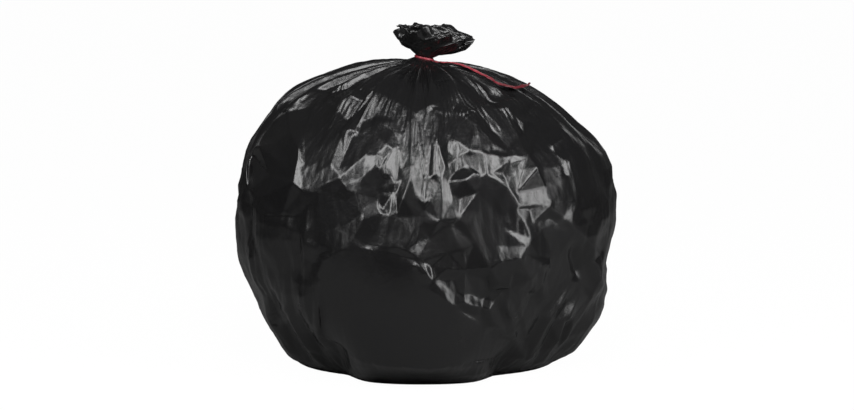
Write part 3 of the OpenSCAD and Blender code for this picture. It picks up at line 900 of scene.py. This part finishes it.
def body_film(material):
    rng = np.random.default_rng(23)
    angles = column_angles(COLUMNS)
    cad = base_surface(ROWS, COLUMNS)
    smooth = blur(cad, 9, 7)
    normal = normals_of(smooth)
    if (normal[ROWS // 2, :, 0] * smooth[ROWS // 2, :, 0]).mean() < 0:
        normal = -normal
    relief = np.einsum("...k,...k->...", cad - smooth, normal)
    right, up = along_grid(smooth)
    u, v, _ = lengths(smooth)
    step_u, step_v = blur(u, 12, 4), blur(v, 6, 4)
    radius = np.linalg.norm((smooth - NECK)[..., :2], axis=-1)
    room = np.clip(radius / 0.09, 0.05, 1)
    heel = np.clip(smooth[..., 2] / 0.03, 0, 1)
    near_neck = np.clip((0.125 - radius) / 0.05, 0, 1)

    # Flat facets in front, the model's own folds elsewhere, and finer chance facets on both
    flat, share = flat_facets(rng, smooth, normal, right, up, relief)
    share = blur(share * (1 - 0.9 * near_neck), 1, 1)
    along = np.concatenate([np.zeros((1, COLUMNS)), np.cumsum(v, 0)])
    along /= along[-1]
    around = np.repeat(angles[None] / (2 * math.pi) % 1, ROWS, 0)
    broad = cell_slopes(rng, around, along, *BROAD_CELLS)
    fine = cell_slopes(rng, around, along, *FINE_CELLS)
    calm, dome = front_calm(smooth, normal)
    some = room * heel * (1 - calm)
    slopes = [(b * (1 - share) + f * (1 - 0.7 * share)) * some for b, f in zip(broad, fine)]
    crumple = height_from_slopes(*slopes, step_u, step_v)
    streak = blur(rng.normal(0, 1, crumple.shape), 1, 5)
    crumple += streak / streak.std() * STREAK * some
    surface = smooth + normal * relief[..., None]
    surface += (flat - surface) * (share * heel * clear_of_tape(smooth))[..., None]
    surface = even_dome(surface, dome)
    crumple = np.tanh(crumple / CRUMPLE_MOST) * CRUMPLE_MOST + straight_folds(smooth, normal) * (1 - dome)
    height = np.einsum("...k,...k->...", surface - smooth, normal) + crumple
    film = surface + normal * crumple[..., None]
    film = gathered_film(rng, film, height, smooth, normal, step_u, radius, room)
    film = hold_under_tape(film)

    # The front and the back are a piece each, and share the points where they meet
    grid = closed_grid(film)
    facing = np.sin(angles) < 0
    first = int(np.flatnonzero(facing & ~np.roll(facing, 1))[0])
    front = (first + np.arange(facing.sum() + 1)) % COLUMNS
    back = (front[-1] + np.arange(COLUMNS - facing.sum() + 1)) % COLUMNS
    parts = (("film_front", front), ("film_back", back))
    return [film_piece(name, grid[:, part], material) for name, part in parts]


def gathered_film(rng, p, height, smooth, normal, step_u, radius, room):
    """The film with the wrinkles that it takes near the neck, where it is wider than the surface."""
    gather = np.clip((GATHER_REACH - radius) / 0.1, 0, 1)
    slack = FILM_SLACK + GATHER_SLACK * gather
    real_u, real_v, _ = lengths(p)
    rest_u = np.maximum(step_u * slack, real_u)
    rest_v = real_v * 1.002
    rest_d = np.sqrt(rest_u[:-1] ** 2 + rest_v ** 2)
    rough = blur(rng.normal(0, 1, height.shape), 1, 3)
    rough /= rough.std()
    wrinkle = WRINKLE + GATHER_WRINKLE * gather * room
    p = (p + normal * (rough * wrinkle * 0.4)[..., None]).astype(np.float32)
    low = height - 1.3 * wrinkle - 0.0001
    high = height + 1.5 * wrinkle + 0.0001
    top = int(ROWS * TOP_SHARE)
    fixed = {top: p[top].copy(), -1: p[-1].copy()}
    rest = [field[top:].astype(np.float32) for field in (rest_u, rest_v, rest_d)]
    bounds = [field[top:].astype(np.float32) for field in (low, high, smooth, normal)]
    p[top:] = relax(p[top:], rest, *bounds)
    for row, line in fixed.items():
        p[row] = line
    return p.astype(float)


def closed_grid(p):
    """The film with its neck rings inside the tie and its flat underside."""
    under = [(p[0] * [k, k, 0] + [0, 0, BASE_Z])[None] for k in (0.35, 0.7, 0.96)]
    neck = neck_ring(len(p[-1]))
    rings = [(p[-1] + (neck - p[-1]) * k)[None] for k in (0.35, 0.7, 1.0)]
    return np.concatenate([*under, p, *rings])


def film_piece(name, grid, material):
    """A strip of the film, closed below by a fan to the middle of the base."""
    rows, columns = grid.shape[:2]
    faces = grid_faces(rows, columns, False)
    points = np.vstack([grid.reshape(-1, 3), [[0, 0, BASE_Z]]])
    faces += [(len(points) - 1, j + 1, j) for j in range(columns - 1)]
    return mesh_object(name, points, faces, material)


def neck_ring(count):
    angles = column_angles(count)
    x, y = NECK_R * np.cos(angles), NECK_R * np.sin(angles)
    return np.stack([NECK[0] + x, NECK[1] + y, NECK[2] + TIE_SLOPE * x], 1)


def clear_of_tape(p):
    """0 by the loose end of the tape and 1 away from it."""
    least = np.full(p.shape[:2], 1.0)
    for spot in TAIL_ROUTE:
        least = np.minimum(least, np.linalg.norm(p - spot, axis=-1))
    return np.clip((least - 0.01) / 0.015, 0, 1)


def hold_under_tape(p):
    """Presses the film down to stay below the tape.

    Nothing lifts it to the tape, which bridges the folds 3 to 6 mm above it.
    """
    line = np.array(TAIL_ROUTE)
    t = np.arange(0, len(line) - 1, 0.1)
    dense = np.stack([np.interp(t, range(len(line)), line[:, k]) for k in range(3)], 1)
    near = (np.abs(p[..., 0] - 0.06) < 0.08) & (np.abs(p[..., 1] + 0.02) < 0.06) & (p[..., 2] > 0.3)
    for i, j in zip(*np.nonzero(near)):
        gap = np.hypot(dense[:, 0] - p[i, j, 0], dense[:, 1] - p[i, j, 1])
        k = gap.argmin()
        if gap[k] < TAIL_W * 0.75:
            p[i, j, 2] = min(p[i, j, 2], dense[k, 2] - FILM_BELOW_TAIL)
    return p


def grid_faces(rows, columns, closed):
    """Faces of a grid of points, which go round to its first column if it is closed."""
    i, j = np.meshgrid(np.arange(rows - 1), np.arange(columns - (not closed)), indexing="ij")
    a = i * columns + j
    b = i * columns + (j + 1) % columns
    return np.stack([a, b, b + columns, a + columns], -1).reshape(-1, 4).tolist()


# Rings of the tuft in millimetres: height above the tie, and reach to the left, to the right and to the front
TUFT_RINGS = [
    (0, 9.6, 9.6, 9.6), (3, 10.5, 11, 10.5), (8, 12.5, 18, 15), (14, 17, 36, 22),
    (21, 29, 54, 29), (28, 34, 60, 33), (34, 27, 50, 33), (38, 28, 38, 29),
    (41, 31, 27, 24), (38, 21, 19, 15), (30, 11, 12, 8), (25, 3, 4, 3),
]
TUFT_COLUMNS, TUFT_ROWS = 400, 110
TUFT_TOP = 0.0385
# Chance facets of the tuft: cells round it, cells along its film, and the spread of their slopes
TUFT_BROAD = (19, 7, 0.5)
TUFT_SMALL = (42, 15, 0.35)
TUFT_CRUMPLE = 0.004


def tuft_film(material):
    """The gathered mouth of the bag: pleats that open upwards and turn into the mouth, in chance facets."""
    rng = np.random.default_rng(11)
    columns, rows = TUFT_COLUMNS, TUFT_ROWS
    angles = column_angles(columns)
    rings = np.array(TUFT_RINGS) * 0.001
    t = np.linspace(0, len(rings) - 1, rows)
    rise, left, right, deep = (np.interp(t, range(len(rings)), rings[:, k])[:, None] for k in range(4))
    grow = np.interp(t, [0, 1, 4, 8, 11], [0.0, 0.1, 0.8, 1, 0.3])[:, None]
    ca, sa = np.cos(angles)[None], np.sin(angles)[None]
    sway = angles + 0.25 * np.sin(2 * angles + 1) + 0.5 * grow * np.sin(t * 0.7)[:, None]
    pleats = 1 - 2 * np.abs(np.sin(4.5 * sway + 0.6)) + 0.5 * (1 - 2 * np.abs(np.sin(8 * sway + 2)))
    wide = np.where(ca > 0, right, left)
    swell = 1 + grow * 0.085 * pleats
    droop = grow * 0.009 * np.clip(ca, 0, 1) ** 1.5
    z = rise - droop + grow * 0.0035 * pleats + TIE_SLOPE * wide * ca * np.clip(1 - 3 * grow, 0, 1)
    z = np.minimum(z, TUFT_TOP)
    p = np.stack([NECK[0] + wide * swell * ca, NECK[1] + deep * swell * sa, NECK[2] + z], -1)
    normal = normals_of(blur(p, 4, 2))
    if (normal[20, :, 0] * ca[0]).mean() < 0:
        normal = -normal
    u, v, _ = lengths(p)
    step_u, step_v = blur(u, 6, 3), blur(v, 6, 3)
    around = np.repeat(angles[None] / (2 * math.pi) % 1, rows, 0)
    along = np.repeat(t[:, None] / t[-1], columns, 1)
    broad = cell_slopes(rng, around, along, *TUFT_BROAD)
    small = cell_slopes(rng, around, along, *TUFT_SMALL)
    slopes = [(b + s) * grow for b, s in zip(broad, small)]
    height = height_from_slopes(*slopes, step_u, step_v)
    height = np.tanh(height / TUFT_CRUMPLE) * TUFT_CRUMPLE * np.minimum(grow * 2, 1)
    points = p + normal * height[..., None]
    faces = grid_faces(rows, columns, True)
    points = np.vstack([points.reshape(-1, 3), [points[-1].mean(0)]])
    top = (rows - 1) * columns
    faces += [(len(points) - 1, top + j, top + (j + 1) % columns) for j in range(columns)]
    return mesh_object("film_tuft", points, faces, material)


def tie_band(material):
    """The tape pulled tight round the neck, gathered into a narrow ribbed band."""
    turn, across = 120, 10
    points = []
    for i in range(turn):
        a = 2 * math.pi * i / turn
        for j in range(across):
            b = 2 * math.pi * j / across
            swell = 1 + 0.12 * math.sin(7 * a) + 0.1 * math.sin(19 * a + b)
            r = NECK_R + 0.0013 + 0.0007 * math.cos(b) * swell
            z = 0.0017 * math.sin(b) * (1 + 0.1 * math.sin(4 * a))
            x, y = r * math.cos(a), r * math.sin(a)
            points.append((NECK[0] + x, NECK[1] + y, NECK[2] + z + TIE_SLOPE * x))
    faces = []
    for i in range(turn):
        for j in range(across):
            c = (i + 1) % turn * across
            faces.append((i * across + j, c + j, c + (j + 1) % across, i * across + (j + 1) % across))
    return mesh_object("tape_loop", points, faces, material)


# Stage


def stage():
    """A pale floor that the camera sees as white, apart from the object's faint shadow."""
    size = 40.0
    corners = [(-size, -size, 0), (size, -size, 0), (size, size, 0), (-size, size, 0)]
    material, tree, shader = node_material("pale_floor")
    new, link = tree.nodes.new, tree.links.new
    shader.inputs["Base Color"].default_value = (0.2, 0.2, 0.2, 1)
    shader.inputs["Roughness"].default_value = 0.9
    shader.inputs["Specular IOR Level"].default_value = 0.1
    white = new("ShaderNodeEmission")
    path = new("ShaderNodeLightPath")
    mix = new("ShaderNodeMixShader")
    link(math_node(tree, "MULTIPLY", path.outputs["Is Camera Ray"], 0.93), mix.inputs["Fac"])
    link(shader.outputs["BSDF"], mix.inputs[1])
    link(white.outputs["Emission"], mix.inputs[2])
    link(mix.outputs["Shader"], tree.nodes["Material Output"].inputs["Surface"])
    white.inputs["Strength"].default_value = 1.06
    floor = mesh_object("floor", corners, [(0, 1, 2, 3)], material, smooth=False)
    studio_world()


def studio_world():
    """A dim room with a white backdrop. Glossy and transmitted rays see the backdrop only where it stands."""
    world = bpy.data.worlds.new("studio")
    bpy.context.scene.world = world
    world.use_nodes = True
    tree = world.node_tree
    new, link = tree.nodes.new, tree.links.new

    coords = new("ShaderNodeTexCoord")
    split = new("ShaderNodeSeparateXYZ")
    link(coords.outputs["Generated"], split.inputs["Vector"])
    ends = (("Y", 0.85, 0.97), ("Z", 0.05, 0.15), ("Z", 0.45, 0.3))
    fades = [range_node(tree, split.outputs[axis], span, (0, 1), "SMOOTHSTEP") for axis, *span in ends]
    behind = math_node(tree, "MULTIPLY", math_node(tree, "MULTIPLY", fades[0], fades[1]), fades[2])
    path = new("ShaderNodeLightPath")
    mirrored = math_node(tree, "MAXIMUM", path.outputs["Is Glossy Ray"], path.outputs["Is Transmission Ray"])
    mirrored = math_node(tree, "MULTIPLY", mirrored, behind)
    seen = math_node(tree, "MAXIMUM", path.outputs["Is Camera Ray"], mirrored)
    dim = tree.nodes["Background"]
    dim.inputs["Color"].default_value = (1, 1, 1, 1)
    dim.inputs["Strength"].default_value = 0.06
    bright = new("ShaderNodeBackground")
    bright.inputs["Color"].default_value = (1, 1, 1, 1)
    bright.inputs["Strength"].default_value = 1.0
    mix = new("ShaderNodeMixShader")
    link(seen, mix.inputs["Fac"])
    link(dim.outputs["Background"], mix.inputs[1])
    link(bright.outputs["Background"], mix.inputs[2])
    link(mix.outputs["Shader"], tree.nodes["World Output"].inputs["Surface"])


def area_light(name, place, aim, width, height, power):
    data = bpy.data.lights.new(name, "AREA")
    data.shape = "RECTANGLE"
    data.size, data.size_y = width, height
    data.energy = power
    obj = bpy.data.objects.new(name, data)
    bpy.context.scene.collection.objects.link(obj)
    obj.location = place
    obj.rotation_euler = (Vector(aim) - Vector(place)).to_track_quat("-Z", "Y").to_euler()


# The scene

camera()
tape = tape_material()
film = film_material()
tail, tail_line = ribbon("tape_tail", TAIL_ROUTE, TAIL_W, TAIL_THICK, tape)
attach(tail, "root")
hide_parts("tie_tail")

body = body_film(film)
tuft = tuft_film(film)
for piece in [*body, tuft]:
    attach(piece, "root")
    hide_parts("bag")
loop = tie_band(tape)
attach(loop, "root")
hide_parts("tie_loop")

stage()
for number, (place, width, height, watts) in enumerate(SOFTBOXES):
    area_light(f"softbox_{number}", place, (0, 0, 0.2), width, height, watts)
bpy.context.scene.view_settings.view_transform = "Standard"
